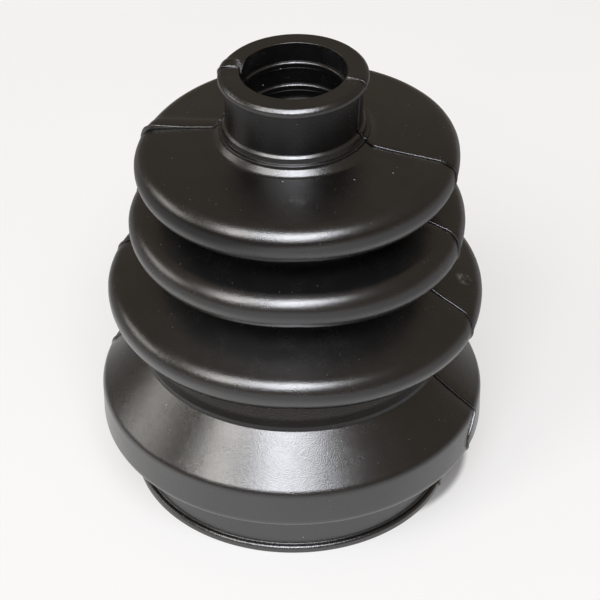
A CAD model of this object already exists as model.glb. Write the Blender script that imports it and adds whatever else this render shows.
"""Rubber bellows boot: one fine mesh in place of the CAD node, its rubber, and a white floor."""

import math
from typing import NamedTuple

import bpy
import numpy as np
from mathutils import Matrix, Vector, noise


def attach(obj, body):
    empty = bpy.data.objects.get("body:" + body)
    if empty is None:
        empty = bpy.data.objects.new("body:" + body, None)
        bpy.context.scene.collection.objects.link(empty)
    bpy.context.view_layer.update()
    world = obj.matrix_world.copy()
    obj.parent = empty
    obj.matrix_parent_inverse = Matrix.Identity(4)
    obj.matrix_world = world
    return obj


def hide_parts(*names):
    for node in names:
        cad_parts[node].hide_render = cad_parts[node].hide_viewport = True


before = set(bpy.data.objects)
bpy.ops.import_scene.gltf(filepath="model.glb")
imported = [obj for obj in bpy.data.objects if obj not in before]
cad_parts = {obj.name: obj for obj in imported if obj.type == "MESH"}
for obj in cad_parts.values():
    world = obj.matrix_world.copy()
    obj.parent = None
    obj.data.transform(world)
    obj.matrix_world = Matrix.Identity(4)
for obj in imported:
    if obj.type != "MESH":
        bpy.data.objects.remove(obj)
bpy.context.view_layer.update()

MM = 0.001

# ---- Radii and heights in millimetres: near the part's, and some fitted closer to the photograph ----
LARGE_BORE, LARGE_SEAT, RIM, BAND, NECK = 36.0, 38.6, 39.9, 47.5, 37.4
SMALL_BORE, SMALL_SEAT, SEAT_STEP, SHELF, LIP = 12.5, 16.05, 16.75, 17.75, 17.5
RING_TOP, RING_BEVEL, RING_FOOT = 16.25, 0.55, 16.95
RIM_TOP, BAND_FOOT, CREASE_Z, NECK_FOOT_Z, NECK_EDGE_Z = 2.0, 14.9, 24.3, 37.0, 37.8
SHELF_Z, SHELF_TOP, SEAT_FOOT, LIP_UNDER, TOP = 98.1, 98.75, 100.6, 111.5, 113.6
WALL, BAND_WALL, BAND_ROUND = 2.4, 2.6, 2.4
LIP_BEVEL, LIP_ROUND, MOUTH_ROUND = 1.0, 0.95, 0.14
SHOULDER_Z, SHOULDER_ROUND = 99.4, 3.5
BORE_CHAMFER = 1.0
SMALL_RIBS, SMALL_RIB_HEIGHT, SMALL_RIB_CREST = (101.6, 107.7), 0.6, 0.7
LARGE_RIBS, LARGE_RIB_HEIGHT, LARGE_RIB_CREST = (4.6, 9.2), 0.7, 0.6


class Bend(NamedTuple):
    """A round bend of the wall, centred at (r, z).

    Its side is 1 where the wall bulges out and -1 where it turns in.
    """

    r: float
    z: float
    radius: float
    side: int

    def inset(self, wall):
        return self._replace(radius=self.radius - self.side * wall)


def bend(wall_radius, z, radius, side):
    return Bend(wall_radius - side * radius, z, radius, side)


FOLDS = [
    bend(38.35, 89.5, 5.0, 1),
    bend(26.6, 81.9, 2.1, -1),
    bend(40.25, 72.5, 4.9, 1),
    bend(29.8, 63.9, 1.6, -1),
    bend(45.6, 52.7, 4.85, 1),
    bend(35.0, 44.4, 2.2, -1),
]
COVE = [bend(SHELF, SHELF_Z, 0.5, -1), bend(18.35, 97.91, 1.5, -1)]
NECK_EDGE = bend(NECK, NECK_EDGE_Z, 0.5, 1)
NECK_FOOT = bend(NECK, NECK_FOOT_Z, 0.5, -1)
CREASE = bend(BAND, CREASE_Z, 3.0, 1)
SHOULDER = bend(SMALL_BORE, SHOULDER_Z, SHOULDER_ROUND, -1)

# The photographed side: the camera stands 18 degrees round from the normal of the XZ parting plane
VIEW_AZIMUTH = math.radians(18.0)
RIGHT = np.array([math.cos(VIEW_AZIMUTH), math.sin(VIEW_AZIMUTH)])


# ---- Lines of the wall's section, as lists of (r, z) points ----
FINE_ARC, COARSE_ARC = math.radians(9), math.radians(18)
FINE_RUN, COARSE_RUN = 1.8, 4.5
EDGE_SUPPORT = 0.14


def heading(a, b):
    run, rise = b.r - a.r, b.z - a.z
    lean = a.side * a.radius - b.side * b.radius
    return math.atan2(rise, run) - math.asin(lean / math.hypot(run, rise))


def arc(centre, radius, first, sweep, step=COARSE_ARC):
    count = max(3, math.ceil(abs(sweep) / step))
    angles = [first + sweep * i / count for i in range(count + 1)]
    return [(centre[0] + radius * math.cos(a), centre[1] + radius * math.sin(a)) for a in angles]


def run_to(points, end, spacing=FINE_RUN):
    """Adds a straight run to the points, with a close row at each end to hold the shading."""
    start = points[-1]
    length = math.dist(start, end)
    if length < 1e-6:
        return
    marks = [length]
    if length > 3 * EDGE_SUPPORT:
        inner = length - 2 * EDGE_SUPPORT
        count = max(1, round(inner / spacing))
        marks = [EDGE_SUPPORT + inner * i / count for i in range(count + 1)] + [length]
    for mark in marks:
        t = mark / length
        points.append((start[0] + (end[0] - start[0]) * t, start[1] + (end[1] - start[1]) * t))


def round_corner(points, corner, after, radius):
    """Runs to a corner, rounded by an arc, on the way to the next point."""
    corner = np.array(corner)
    a = np.array(points[-1]) - corner
    b = np.array(after) - corner
    a, b = a / np.linalg.norm(a), b / np.linalg.norm(b)
    half = math.acos(float(np.clip(a @ b, -1, 1))) / 2
    reach = radius / math.tan(half)
    centre = corner + (a + b) / np.linalg.norm(a + b) * radius / math.sin(half)
    p, q = corner + a * reach - centre, corner + b * reach - centre
    run_to(points, tuple(centre + p))
    first = math.atan2(p[1], p[0])
    sweep = (math.atan2(q[1], q[0]) - first + math.pi) % (2 * math.pi) - math.pi
    points.extend(arc(centre, radius, first, sweep)[1:])


def follow(points, bends, spacing, step):
    """Follows a line that comes straight down, rounds every bend in turn and leaves straight down."""
    down = -math.pi / 2
    headings = [down, *(heading(a, b) for a, b in zip(bends, bends[1:])), down]
    for b, arriving, leaving in zip(bends, headings, headings[1:]):
        pieces = arc((b.r, b.z), b.radius, arriving + b.side * math.pi / 2, leaving - arriving, step)
        run_to(points, pieces[0], spacing)
        points.extend(pieces[1:])


def rib(points, radius, z, height, crest):
    """A half-round sealing rib on a bore's wall, drawn upwards."""
    run_to(points, (radius, z - crest / 2 - height), COARSE_RUN)
    points.extend(arc((radius, z - crest / 2), height, -math.pi / 2, -math.pi / 2)[1:])
    run_to(points, (radius - height, z + crest / 2))
    points.extend(arc((radius, z + crest / 2), height, math.pi, -math.pi / 2)[1:])


def outside_line():
    """From the mouth's inner edge over the crown and down to the rim's foot.

    Each corner comes with the radius that rounds it.
    """
    points = arc((SMALL_BORE + MOUTH_ROUND, TOP - MOUTH_ROUND), MOUTH_ROUND, math.pi, -math.pi / 2)
    small_end = [
        ((LIP - LIP_BEVEL, TOP), LIP_ROUND),
        ((LIP, TOP - LIP_BEVEL), LIP_ROUND),
        ((LIP, LIP_UNDER), 0.25),
        ((SMALL_SEAT, LIP_UNDER), 0.3),
        ((SMALL_SEAT, SEAT_FOOT), 0.05),
        ((RING_TOP, SEAT_FOOT), 0.1),
        ((SEAT_STEP, SEAT_FOOT - RING_BEVEL), 0.15),
        ((RING_FOOT, SHELF_TOP), 0.1),
        ((SHELF, SHELF_TOP), 0.15),
        ((SHELF, SHELF_Z), 0.0),
    ]
    for (corner, radius), (after, _) in zip(small_end, small_end[1:]):
        round_corner(points, corner, after, radius)
    follow(points, [*COVE, *FOLDS, NECK_EDGE, NECK_FOOT, CREASE], FINE_RUN, FINE_ARC)
    large_end = [
        ((BAND, BAND_FOOT), BAND_ROUND),
        ((LARGE_SEAT, BAND_FOOT), 0.6),
        ((LARGE_SEAT, RIM_TOP), 0.3),
        ((RIM, RIM_TOP), 1.0),
        ((RIM, 0.0), 0.4),
        ((LARGE_BORE + BORE_CHAMFER, 0.0), 0.0),
    ]
    for (corner, radius), (after, _) in zip(large_end, large_end[1:]):
        round_corner(points, corner, after, radius)
    run_to(points, large_end[-1][0])
    return points


def inside_line():
    """From the rim's foot back up to the mouth's inner edge."""
    points = [(LARGE_BORE + BORE_CHAMFER, 0.0)]
    run_to(points, (LARGE_BORE, BORE_CHAMFER), COARSE_RUN)
    for z in LARGE_RIBS:
        rib(points, LARGE_BORE, z, LARGE_RIB_HEIGHT, LARGE_RIB_CREST)
    ledge = BAND_FOOT + BAND_WALL
    run_to(points, (LARGE_BORE, ledge - BORE_CHAMFER), COARSE_RUN)
    run_to(points, (LARGE_BORE + BORE_CHAMFER, ledge), COARSE_RUN)
    run_to(points, (BAND - BAND_WALL, ledge), COARSE_RUN)
    descent = [(SMALL_BORE, SMALL_RIBS[0] - SMALL_RIB_CREST / 2 - SMALL_RIB_HEIGHT)]
    inner_folds = [fold.inset(WALL) for fold in FOLDS]
    inner_bends = [SHOULDER, *inner_folds, NECK_FOOT.inset(WALL), CREASE.inset(BAND_WALL)]
    follow(descent, inner_bends, COARSE_RUN, COARSE_ARC)
    run_to(points, descent[-1], COARSE_RUN)
    points.extend(descent[-2:0:-1])
    for z in SMALL_RIBS:
        rib(points, SMALL_BORE, z, SMALL_RIB_HEIGHT, SMALL_RIB_CREST)
    run_to(points, (SMALL_BORE, TOP - MOUTH_ROUND))
    return points


outside, inside = outside_line(), inside_line()
profile = np.array(outside[:-1] + inside[:-1])
outside_rows = len(outside) - 1
tangent = np.roll(profile, -1, 0) - np.roll(profile, 1, 0)
tangent /= np.linalg.norm(tangent, axis=1)[:, None]
outward = np.stack([-tangent[:, 1], tangent[:, 0]], 1)
along = np.concatenate([[0], np.cumsum(np.hypot(*np.diff(profile, axis=0).T))])

# ---- The two parting lines: a ragged bead of flash between two shallow grooves ----
BEAD_HEIGHT = 0.24
BEAD_HALF_WIDTH = 0.17
BEAD_STEPS = (0.0, 0.07, 0.12, 0.155, 0.17)
NUB_Z, NUB_SPREAD, NUB_FULLNESS = 94.0, 1.1, 3.0
GROOVE_DEPTH = 0.45
GROOVE_WIDTH = 0.42
# Across a groove: shares of its width, each with the share of its depth there
GROOVE_STEPS = ((0.3, 0.9), (0.6, 1.0), (1.0, 0.1))
SEAM_CLEAR = 0.7
PLAIN_COLUMNS = 78
PLAIN_MARGIN = math.radians(5.0)

# Degrees by which each parting line strays round the boot, against the height in millimetres
STRAY_HEIGHTS = [0, 20, 25, 37, 45, 52.7, 63, 72.5, 82, 88, 91, 95, 99, 102, 110, 113.6]
STRAY_RIGHT = [-4.0, -7.0, -0.7, -6.5, -4.0, -3.0, -1.0, 0.0, 1.0, 1.5, 3.7, 1.4, -3.6, -6.0, -2.0, 0.3]
STRAY_LEFT = [3.0, 3.0, 3.0, 3.0, 3.0, 3.0, 3.0, 3.0, 3.5, 4.0, 5.0, 7.5, 11.0, 11.0, 11.3, 11.5]


def seam_section():
    """Offsets in millimetres across a parting line, each with the bead's share and the groove's depth."""
    bead = [(d, math.sqrt(1 - (d / BEAD_HALF_WIDTH) ** 2), 0.0) for d in BEAD_STEPS]
    groove = [(BEAD_HALF_WIDTH + GROOVE_WIDTH * t, 0.0, GROOVE_DEPTH * d) for t, d in GROOVE_STEPS]
    half = [*bead, *groove, (SEAM_CLEAR, 0.0, 0.0)]
    return [(-d, share, depth) for d, share, depth in half[:0:-1]] + half


section = np.array(seam_section())
plain = np.linspace(PLAIN_MARGIN, math.pi - PLAIN_MARGIN, PLAIN_COLUMNS)
blank = np.zeros(PLAIN_COLUMNS)
half_turn = {
    "angle": np.concatenate([np.zeros(len(section)), plain]),
    "offset": np.concatenate([section[:, 0], blank]),
    "bead": np.concatenate([section[:, 1], blank]),
    "groove": np.concatenate([section[:, 2], blank]),
}
angle0 = np.concatenate([half_turn["angle"], half_turn["angle"] + math.pi])
offset, bead, groove = (np.tile(half_turn[name], 2) for name in ("offset", "bead", "groove"))
rows, cols = len(profile), len(angle0)
left_half = np.arange(cols) >= cols // 2


class Wave(NamedTuple):
    """A wave along the bead of flash: its length in millimetres, strength and layer of the noise."""

    length: float
    strength: float
    layer: float


SLOW_WAVE, QUICK_WAVE = Wave(6.0, 0.7, 0.5), Wave(1.4, 0.5, 7.5)
LEAST_FULL, MOST_FULL = 0.15, 1.6
RIGHT_SEED, LEFT_SEED = 11.3, 3.7


def ragged(seed):
    """How full the bead of flash is along the section, about 1."""

    def swing(wave):
        heights = [noise.noise(Vector((s / wave.length, seed, wave.layer))) for s in along]
        return wave.strength * np.array(heights)

    return np.clip(1 + swing(SLOW_WAVE) + swing(QUICK_WAVE), LEAST_FULL, MOST_FULL)


radius, height0 = profile[:, :1], profile[:, 1:]
on_right = ((1 + np.cos(angle0)) / 2) ** 2
on_left = ((1 - np.cos(angle0)) / 2) ** 2
stray_right = np.radians(np.interp(profile[:, 1], STRAY_HEIGHTS, STRAY_RIGHT))[:, None]
stray_left = np.radians(np.interp(profile[:, 1], STRAY_HEIGHTS, STRAY_LEFT))[:, None]
angles = angle0 + offset / radius + stray_right * on_right + stray_left * on_left

# The parting line is on the outside alone, and fades out at the mouth and at the rim's foot
FADE_START, FADE_LENGTH = 0.2, 0.6
from_mouth = np.clip((profile[:, 0] - SMALL_BORE - FADE_START) / FADE_LENGTH, 0, 1)
fade = from_mouth * np.clip(profile[:, 1] / FADE_LENGTH, 0, 1)
fade[outside_rows:] = 0
nub = NUB_FULLNESS * np.exp(-(((height0 - NUB_Z) / NUB_SPREAD) ** 2))
fullness = np.where(left_half, ragged(LEFT_SEED)[:, None] + nub, ragged(RIGHT_SEED)[:, None])
lift = fade[:, None] * (BEAD_HEIGHT * fullness * bead - groove)

r = radius + outward[:, :1] * lift
z = height0 + outward[:, 1:] * lift
points = np.stack([r * np.cos(angles), r * np.sin(angles), z + 0 * angles], -1)

# ---- How the photographed boot departs from a true round one: shifted, tilted and sagging rolls ----
# Millimetres, and degrees of tilt, for the rings at the set heights
SET_HEIGHTS = [0.0, 25.0, 41.0, 52.7, 63.0, 72.5, 82.0, 89.5, 99.0, 113.6]
SET_SHIFT = [-0.1, -0.2, 0.05, 0.42, 0.6, 0.8, 0.8, 0.78, 0.1, -0.1]
SET_TILT = [0.0, 0.0, -0.3, -1.05, -0.4, 0.4, 1.3, 2.4, 1.3, 1.0]
# The back half sits further to the right and lower, most of all on the left
SET_SLIP = [0.0, 0.0, 0.2, 0.3, 0.35, 0.45, 0.5, 0.7, 0.35, 0.2]
SET_DROP = [0.0, 0.0, 0.0, 0.1, 0.15, 0.2, 0.25, 0.36, 0.33, 0.25]
SLIP_REACH, DROP_REACH, DROP_LEAN = 18.0, 1.5, 0.86
# The front half sags towards the right-hand parting line, and less far on its left
SET_SAG = [0.0, 0.0, 0.0, 1.8, 1.6, 1.8, 1.2, 0.95, 0.2, 0.0]
SET_WARP = [0.0, 0.0, 0.0, 0.9, 0.7, 0.8, 0.4, 0.0, 0.0, 0.0]
SAG_START, SAG_END = -5.0, 11.0
# The cone and the band are drawn in on the right, behind the parting plane
PINCH = [0.3, 1.0, 0.7, 0.0, 0.0, 0.0, 0.0, 0.0, 0.0, 0.0]
PINCH_ANGLE, PINCH_SPREAD = math.radians(38.0), math.radians(26.0)


def take_set(points, heights):
    """Shifts, tilts, slips and sags points in the view's own directions, by the height of their ring."""
    points = np.array(points, float)
    x, y = points[..., 0], points[..., 1]
    reach = np.hypot(x, y)
    across = x * RIGHT[0] + y * RIGHT[1]
    away = y * RIGHT[0] - x * RIGHT[1]
    tables = (SET_SHIFT, SET_TILT, SET_SLIP, SET_DROP, SET_SAG, SET_WARP, PINCH)
    shift, tilt, slip, drop, sag, warp, pinch = (np.interp(heights, SET_HEIGHTS, table) for table in tables)
    sideways = shift + slip * np.clip(away / SLIP_REACH, 0, 1)
    dropped = drop * np.clip(y / DROP_REACH, 0, 1) * (1 - DROP_LEAN * x / reach)
    right_sag = sag * np.clip(across / reach, 0, 1)
    left_warp = warp * np.clip(2 * across * away / reach**2, 0, 1)
    fading = np.clip((SAG_END - y) / (SAG_END - SAG_START), 0, 1)
    sagged = (right_sag + left_warp) * fading**2 * (3 - 2 * fading)
    near_pinch = np.exp(-(((np.arctan2(y, x) - PINCH_ANGLE) / PINCH_SPREAD) ** 2))
    points[..., :2] *= (1 - pinch * near_pinch / reach)[..., None]
    points[..., :2] += sideways[..., None] * RIGHT
    points[..., 2] += np.tan(np.radians(tilt)) * across - dropped - sagged
    return points


points = take_set(points, height0 + 0 * angles)
i, j = np.meshgrid(np.arange(rows), np.arange(cols), indexing="ij")
i2, j2 = (i + 1) % rows, (j + 1) % cols
faces = np.stack([i * cols + j, i2 * cols + j, i2 * cols + j2, i * cols + j2], -1).reshape(-1, 4)


def mesh_object(name, vertices, faces):
    mesh = bpy.data.meshes.new(name)
    mesh.from_pydata((np.reshape(vertices, (-1, 3)) * MM).tolist(), [], faces)
    mesh.validate()
    obj = bpy.data.objects.new(name, mesh)
    bpy.context.collection.objects.link(obj)
    return obj


boot = mesh_object("bellows_rubber", points, faces.tolist())

# ---- The chip torn out of the crown: an upturned pyramid, cut from the mesh ----
CHIP_RIM = [(-10.5, -2.15), (-16.2, -2.15), (-15.1, 0.85), (-12.5, 2.05), (-10.5, 2.05)]
CHIP_DEPTH = 2.7
CHIP_TIP = (-12.4, -1.2, TOP - CHIP_DEPTH)
CHIP_ABOVE = 2.0
SHARP_ANGLE = math.radians(40)


def cut_chip():
    count = len(CHIP_RIM)
    ceiling = [(x, y, TOP + CHIP_ABOVE) for x, y in CHIP_RIM]
    corners = np.array([*ceiling, *((x, y, TOP) for x, y in CHIP_RIM), CHIP_TIP])
    around = [(k, (k + 1) % count) for k in range(count)]
    lid = list(range(count))[::-1]
    walls = [(a, b, b + count, a + count) for a, b in around]
    slopes = [(a + count, b + count, 2 * count) for a, b in around]
    placed = take_set(corners, np.full(2 * count + 1, TOP))
    cutter = mesh_object("chip_cutter", placed, [lid, *walls, *slopes])
    cut = boot.modifiers.new("chip", "BOOLEAN")
    cut.operation, cut.solver, cut.object = "DIFFERENCE", "EXACT", cutter
    depsgraph = bpy.context.evaluated_depsgraph_get()
    old = boot.data
    boot.data = bpy.data.meshes.new_from_object(boot.evaluated_get(depsgraph))
    boot.modifiers.clear()
    bpy.data.meshes.remove(old)
    bpy.data.meshes.remove(cutter.data)


cut_chip()
boot.data.name = "bellows_rubber"
boot.data.shade_smooth()
boot.data.set_sharp_from_angle(angle=SHARP_ANGLE)


# ---- Rubber ----
RUBBER_DARK, RUBBER_BLOOM = (0.0022, 0.0020, 0.0022, 1.0), (0.0052, 0.0047, 0.0047, 1.0)
DUST = (0.42, 0.40, 0.38, 1.0)
RUBBER_IOR = 1.68
SMOOTH_ROUGHNESS, DULL_ROUGHNESS = 0.24, 0.28
WAVE_DEPTH, GRAIN_DEPTH = 0.0003, 0.00004
# The specular level, lowered where the render was brighter than the photograph: by the height part
# of the normal on the folds' undersides, and by the millimetres from the two upright walls' radii
DARK_REFLECTION = 0.45
UNDERSIDE_FULL, UNDERSIDE_END = -0.86, -0.62
LEVEL_START, LEVEL_FULL = 0.3, 0.6
WALL_FULL, WALL_END = 0.5, 0.9
# Pale rub marks: place and size in millimetres, and strength
MARKS = [((40.4, 8.6, 57.4), 2.6, 0.3), ((9.1, -24.8, 95.6), 2.6, 0.1), ((23.5, -34.4, 33.0), 3.0, 0.1)]


class Nodes:
    """Short ways to add and link the shader nodes of one material."""

    def __init__(self, name):
        self.material = bpy.data.materials.new(name)
        self.material.use_nodes = True
        self.tree = self.material.node_tree
        self.shader = self.tree.nodes["Principled BSDF"]
        self.place = self.tree.nodes.new("ShaderNodeTexCoord").outputs["Object"]

    def link(self, source, target):
        if isinstance(source, bpy.types.NodeSocket):
            self.tree.links.new(source, target)
        else:
            target.default_value = source

    def noise(self, scale, detail, roughness=0.5):
        """Noise with grains of about 1 / scale metres."""
        node = self.tree.nodes.new("ShaderNodeTexNoise")
        node.inputs["Scale"].default_value = scale
        node.inputs["Detail"].default_value = detail
        node.inputs["Roughness"].default_value = roughness
        self.link(self.place, node.inputs["Vector"])
        return node.outputs["Fac"]

    def spread(self, value, low, high, to_low=0.0, to_high=1.0):
        """Maps the range low to high smoothly onto to_low to to_high."""
        node = self.tree.nodes.new("ShaderNodeMapRange")
        node.interpolation_type = "SMOOTHSTEP"
        for name, number in zip(("From Min", "From Max", "To Min", "To Max"), (low, high, to_low, to_high)):
            node.inputs[name].default_value = number
        self.link(value, node.inputs["Value"])
        return node.outputs["Result"]

    def math(self, operation, a, b):
        node = self.tree.nodes.new("ShaderNodeMath")
        node.operation = operation
        self.link(a, node.inputs[0])
        self.link(b, node.inputs[1])
        return node.outputs["Value"]

    def mix(self, share, a, b):
        node = self.tree.nodes.new("ShaderNodeMix")
        node.data_type = "RGBA"
        self.link(share, node.inputs["Factor"])
        self.link(a, node.inputs["A"])
        self.link(b, node.inputs["B"])
        return node.outputs["Result"]

    def distance(self, point):
        node = self.tree.nodes.new("ShaderNodeVectorMath")
        node.operation = "DISTANCE"
        self.link(self.place, node.inputs[0])
        node.inputs[1].default_value = point
        return node.outputs["Value"]

    def radius(self):
        """Distance from the boot's axis, in metres."""
        flat = self.tree.nodes.new("ShaderNodeVectorMath")
        flat.operation = "MULTIPLY"
        self.link(self.place, flat.inputs[0])
        flat.inputs[1].default_value = (1, 1, 0)
        length = self.tree.nodes.new("ShaderNodeVectorMath")
        length.operation = "LENGTH"
        self.link(flat.outputs["Vector"], length.inputs[0])
        return length.outputs["Value"]

    def facing_up(self):
        """The height part of the surface's own normal: 1 on top and -1 underneath."""
        geometry = self.tree.nodes.new("ShaderNodeNewGeometry")
        parts = self.tree.nodes.new("ShaderNodeSeparateXYZ")
        self.link(geometry.outputs["Normal"], parts.inputs["Vector"])
        return parts.outputs["Z"]

    def cells(self, scale):
        node = self.tree.nodes.new("ShaderNodeTexVoronoi")
        node.inputs["Scale"].default_value = scale
        self.link(self.place, node.inputs["Vector"])
        return node.outputs["Distance"]

    def bump(self, height, depth, below=None):
        node = self.tree.nodes.new("ShaderNodeBump")
        node.inputs["Distance"].default_value = depth
        self.link(height, node.inputs["Height"])
        if below is not None:
            self.link(below, node.inputs["Normal"])
        return node.outputs["Normal"]


def rubber():
    n = Nodes("satin_rubber")
    bloom = n.spread(n.noise(70, 5, 0.6), 0.42, 0.72)
    speck = n.spread(n.cells(115), 0.014, 0.022, 0.9, 0.0)
    fine_speck = n.spread(n.cells(420), 0.03, 0.055, 0.35, 0.0)
    dust = n.math("MAXIMUM", speck, fine_speck)
    ragged_mark = n.spread(n.noise(900, 4, 0.7), 0.45, 0.6)
    for place, size, strength in MARKS:
        near = n.spread(n.distance([c * MM for c in place]), 0.4 * size * MM, size * MM, strength, 0.0)
        dust = n.math("MAXIMUM", dust, n.math("MULTIPLY", near, ragged_mark))
    colour = n.mix(bloom, RUBBER_DARK, RUBBER_BLOOM)
    n.link(n.mix(dust, colour, DUST), n.shader.inputs["Base Color"])

    sheen = n.spread(n.noise(190, 7, 0.7), 0.3, 0.7, SMOOTH_ROUGHNESS, DULL_ROUGHNESS)
    n.link(n.math("MAXIMUM", sheen, dust), n.shader.inputs["Roughness"])

    waves = n.bump(n.noise(50, 1), WAVE_DEPTH)
    grain = n.bump(n.noise(3800, 1), GRAIN_DEPTH, waves)
    n.link(grain, n.shader.inputs["Normal"])
    n.shader.inputs["IOR"].default_value = RUBBER_IOR

    # The folds' undersides and the upright walls of the small seat and the neck reflect less
    up = n.facing_up()
    reflection = n.spread(up, UNDERSIDE_FULL, UNDERSIDE_END, DARK_REFLECTION, 1.0)
    level_part = n.spread(up, LEVEL_START, LEVEL_FULL)
    for wall_radius in (SMALL_SEAT, NECK):
        away = n.math("ABSOLUTE", n.math("SUBTRACT", n.radius(), wall_radius * MM), 0.0)
        wall = n.spread(away, WALL_FULL * MM, WALL_END * MM, DARK_REFLECTION, 1.0)
        reflection = n.math("MINIMUM", reflection, n.math("MAXIMUM", wall, level_part))
    n.link(reflection, n.shader.inputs["Specular IOR Level"])
    return n.material


boot.data.materials.append(rubber())
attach(boot, "root")
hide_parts("bellows_boot")

# ---- Floor: plain and pale, lighter to the camera and in reflections than the lamps make it ----
# Half of the floor's width, in millimetres
FLOOR_HALF = 3000.0
FLOOR_WHITE, FLOOR_OFF_WHITE = (0.42, 0.418, 0.415, 1.0), (0.405, 0.403, 0.40, 1.0)
FLOOR_ROUGHNESS = 0.7
GLOW_COLOUR = (1.0, 0.99, 0.98, 1.0)
CAMERA_GLOW, GLOSSY_GLOW = 0.55, 0.55
# Centres and distances on the floor, in metres. The glow in reflections is full to GLOW_FULL and
# ends at GLOW_END, and in front of the boot it is FRONT_SHADE of that. The glow that the camera
# sees drops to SHADE_GLOW on a disc under the boot that stands out at its right foot.
GLOW_CENTRE, GLOW_FULL, GLOW_END = (-0.03 * RIGHT[0], -0.03 * RIGHT[1], 0), 0.06, 0.17
SHADE_CENTRE, SHADE_FULL, SHADE_END = (0.015 * RIGHT[0], 0.015 * RIGHT[1], 0), 0.028, 0.0302
SHADE_GLOW = 0.08
FRONT_CENTRE, FRONT_FULL, FRONT_END = (0.075 * RIGHT[1], -0.075 * RIGHT[0], 0), 0.035, 0.085
FRONT_SHADE = 0.69


def floor_white():
    """Nearly white to the camera; in reflections it fades out, and is dimmer in front of the boot."""
    n = Nodes("floor_white")
    tone = n.mix(n.spread(n.noise(6, 3), 0.3, 0.7), FLOOR_WHITE, FLOOR_OFF_WHITE)
    n.link(tone, n.shader.inputs["Base Color"])
    n.shader.inputs["Roughness"].default_value = FLOOR_ROUGHNESS
    seen = n.tree.nodes.new("ShaderNodeLightPath")
    mirrored = n.math("MAXIMUM", seen.outputs["Is Glossy Ray"], seen.outputs["Is Transmission Ray"])
    nearness = n.spread(n.distance(GLOW_CENTRE), GLOW_FULL, GLOW_END, GLOSSY_GLOW, 0.0)
    front = n.spread(n.distance(FRONT_CENTRE), FRONT_FULL, FRONT_END, FRONT_SHADE, 1.0)
    mirrored = n.math("MULTIPLY", n.math("MULTIPLY", mirrored, nearness), front)
    open_floor = n.spread(n.distance(SHADE_CENTRE), SHADE_FULL, SHADE_END, SHADE_GLOW, CAMERA_GLOW)
    shown = n.math("MULTIPLY", seen.outputs["Is Camera Ray"], open_floor)
    n.shader.inputs["Emission Color"].default_value = GLOW_COLOUR
    n.link(n.math("ADD", mirrored, shown), n.shader.inputs["Emission Strength"])
    return n.material


floor_corners = [(x * FLOOR_HALF, y * FLOOR_HALF, 0) for x, y in ((-1, -1), (1, -1), (1, 1), (-1, 1))]
floor = mesh_object("floor", floor_corners, [(0, 1, 2, 3)])
floor.data.materials.append(floor_white())

# ---- Camera, fitted to the photograph: metres, and the focal length in pixels of its 600 pixel frame ----
CAMERA_BACK, CAMERA_UP = 0.47937, 0.41047
CAMERA_YAW, CAMERA_PITCH, CAMERA_ROLL = math.radians(0.19), math.radians(37.14), math.radians(-0.15)
FOCAL_PIXELS, FRAME_PIXELS = 2449.88, 600.0
SENSOR_WIDTH = 36.0
CLIP_START, CLIP_END = 0.01, 20.0


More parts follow.
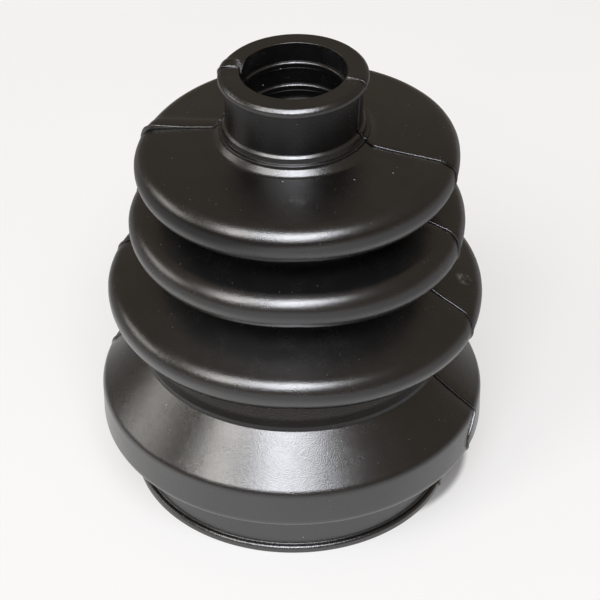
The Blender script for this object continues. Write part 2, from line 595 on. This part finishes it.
def add_camera():
    data = bpy.data.cameras.new("camera")
    camera = bpy.data.objects.new("camera", data)
    bpy.context.collection.objects.link(camera)
    facing = VIEW_AZIMUTH - CAMERA_YAW
    sideways = Vector((math.cos(facing), math.sin(facing), 0))
    level = Vector((-math.sin(facing), math.cos(facing), 0))
    forward = level * math.cos(CAMERA_PITCH) + Vector((0, 0, -math.sin(CAMERA_PITCH)))
    upward = level * math.sin(CAMERA_PITCH) + Vector((0, 0, math.cos(CAMERA_PITCH)))
    image_x = sideways * math.cos(CAMERA_ROLL) - upward * math.sin(CAMERA_ROLL)
    image_y = sideways * math.sin(CAMERA_ROLL) + upward * math.cos(CAMERA_ROLL)
    turn = Matrix((image_x, image_y, -forward)).transposed().to_4x4()
    back = Vector((math.sin(VIEW_AZIMUTH), -math.cos(VIEW_AZIMUTH), 0)) * CAMERA_BACK
    camera.matrix_world = Matrix.Translation(back + Vector((0, 0, CAMERA_UP))) @ turn
    data.sensor_width = SENSOR_WIDTH
    data.lens = FOCAL_PIXELS * SENSOR_WIDTH / FRAME_PIXELS
    data.clip_start, data.clip_end = CLIP_START, CLIP_END
    bpy.context.scene.camera = camera


add_camera()

# ---- Light: a wide softbox over the camera, dimmer ones beside it, and a dim warm room ----
LIGHT_DISTANCE = 2.0
LIGHT_TARGET = Vector((0, 0, 0.07))


def softbox(name, azimuth, elevation, width, height, level, colour):
    """A box that faces the boot, placed and sized in degrees as the boot sees it.

    Azimuth is measured from the camera's side to the right. A white surface square to the box
    and lit by it alone renders at about the given level.
    """
    data = bpy.data.lights.new(name, "AREA")
    data.shape = "RECTANGLE"
    data.size = 2 * LIGHT_DISTANCE * math.tan(math.radians(width / 2))
    data.size_y = 2 * LIGHT_DISTANCE * math.tan(math.radians(height / 2))
    data.energy = level * (math.pi * LIGHT_DISTANCE) ** 2
    data.color = colour
    obj = bpy.data.objects.new(name, data)
    bpy.context.collection.objects.link(obj)
    a, e = VIEW_AZIMUTH + math.radians(azimuth), math.radians(elevation)
    way = Vector((math.sin(a) * math.cos(e), -math.cos(a) * math.cos(e), math.sin(e)))
    obj.location = LIGHT_TARGET + way * LIGHT_DISTANCE
    obj.rotation_mode = "QUATERNION"
    obj.rotation_quaternion = (-way).to_track_quat("-Z", "Y")


softbox("key", -4, 53, 34, 20, 0.62, (0.92, 0.935, 1.0))
softbox("key_foot", -6, 37, 26, 11, 0.25, (0.92, 0.935, 1.0))
softbox("right", 25, 54, 16, 16, 0.1, (0.95, 0.96, 1.0))
softbox("side", -47, 35, 18, 14, 0.16, (1.0, 0.98, 0.94))
softbox("high_side", -50, 50, 18, 14, 0.11, (1.0, 0.98, 0.95))
softbox("low_side", -96, 18, 30, 14, 0.1, (1.0, 0.98, 0.93))

ROOM_COLOUR, ROOM_LEVEL = (1.0, 0.84, 0.66, 1.0), 0.17
world = bpy.data.worlds.new("studio")
bpy.context.scene.world = world
world.use_nodes = True
room = world.node_tree.nodes["Background"]
room.inputs["Color"].default_value = ROOM_COLOUR
room.inputs["Strength"].default_value = ROOM_LEVEL
bpy.context.scene.view_settings.view_transform = "Standard"
